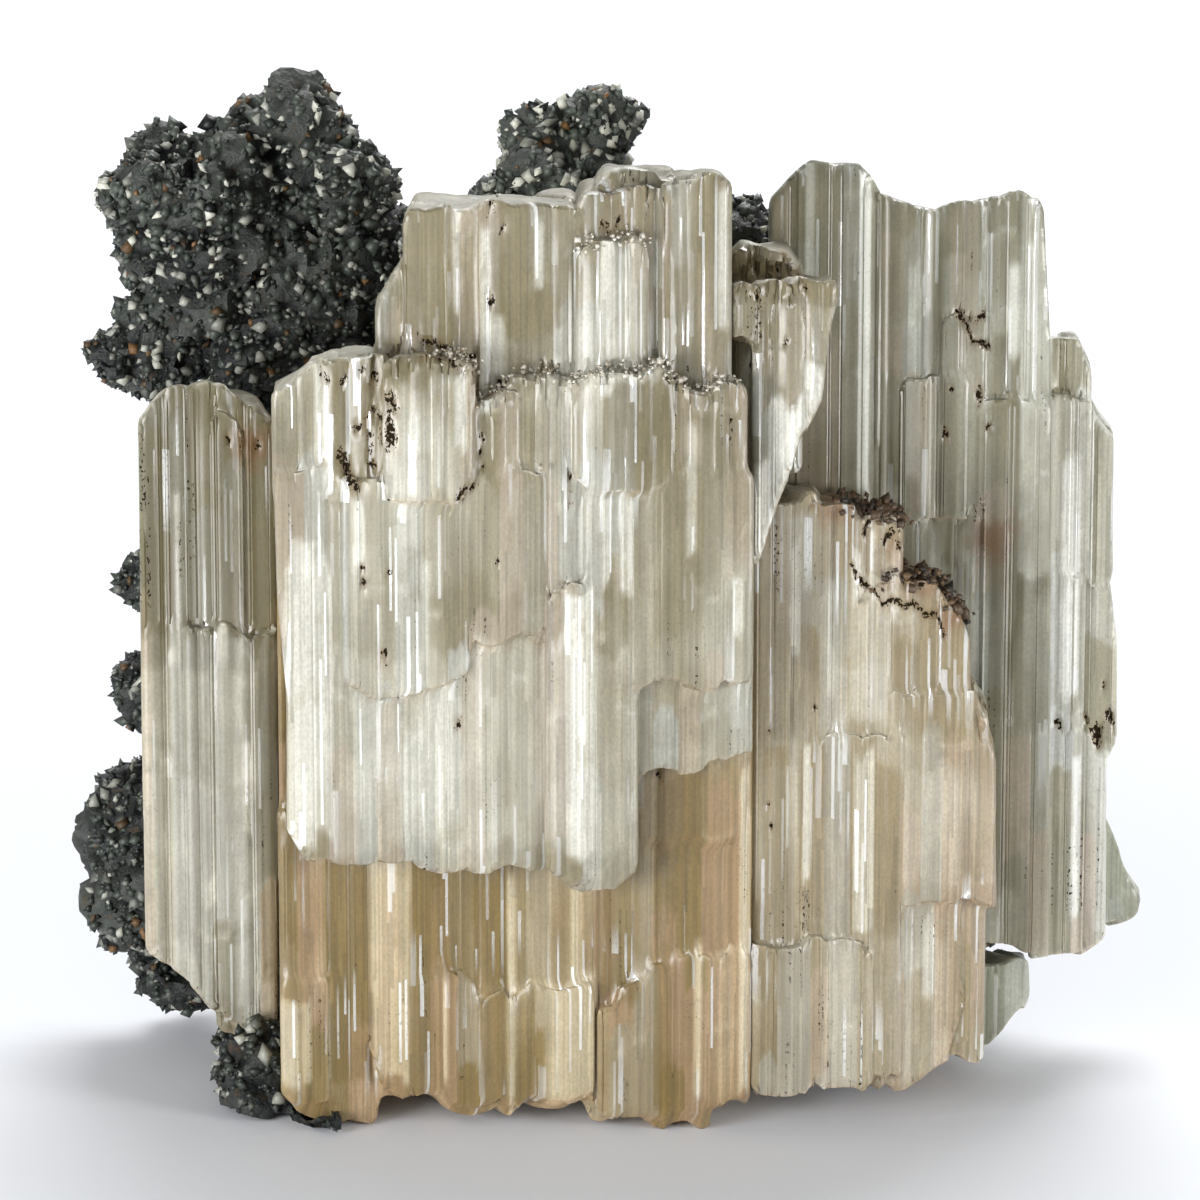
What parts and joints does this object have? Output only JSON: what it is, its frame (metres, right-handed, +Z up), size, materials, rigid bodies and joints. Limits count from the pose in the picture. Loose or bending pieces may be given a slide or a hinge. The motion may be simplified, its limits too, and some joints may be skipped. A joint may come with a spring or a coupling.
{
  "type": "cerussite crystal group",
  "caption": "Group of upright, striated, stepped translucent crystals in cream, tan and grey on dark lumpy rock.",
  "frame": {"origin": "middle of the base, on the ground", "axes": "+X to the right seen from the crystals' side, +Y from the front crystal back into the rock, +Z up along the crystals"},
  "size_m": [0.0638, 0.034, 0.058],
  "materials": {
    "cream_crystal": "milky translucent, glossy, striated",
    "tan_crystal": "honey translucent, glossy, striated",
    "grey_crystal": "smoky translucent, glossy, striated",
    "green_crystal": "greenish translucent, glossy",
    "dark_rock": "rough sulphide rock covered in small grains"
  },
  "bodies": {
    "root": {"front_crystal": "cream_crystal", "broken_crystal": "cream_crystal", "lower_crystal": "tan_crystal", "right_front_crystal": "tan_crystal", "tall_right_crystal": "grey_crystal", "far_right_crystal": "grey_crystal", "left_crystal": "grey_crystal", "green_crystal": "green_crystal", "foot_crystal": "tan_crystal", "wedge_crystal": "green_crystal", "matrix": "dark_rock"}
  },
  "joints": []
}
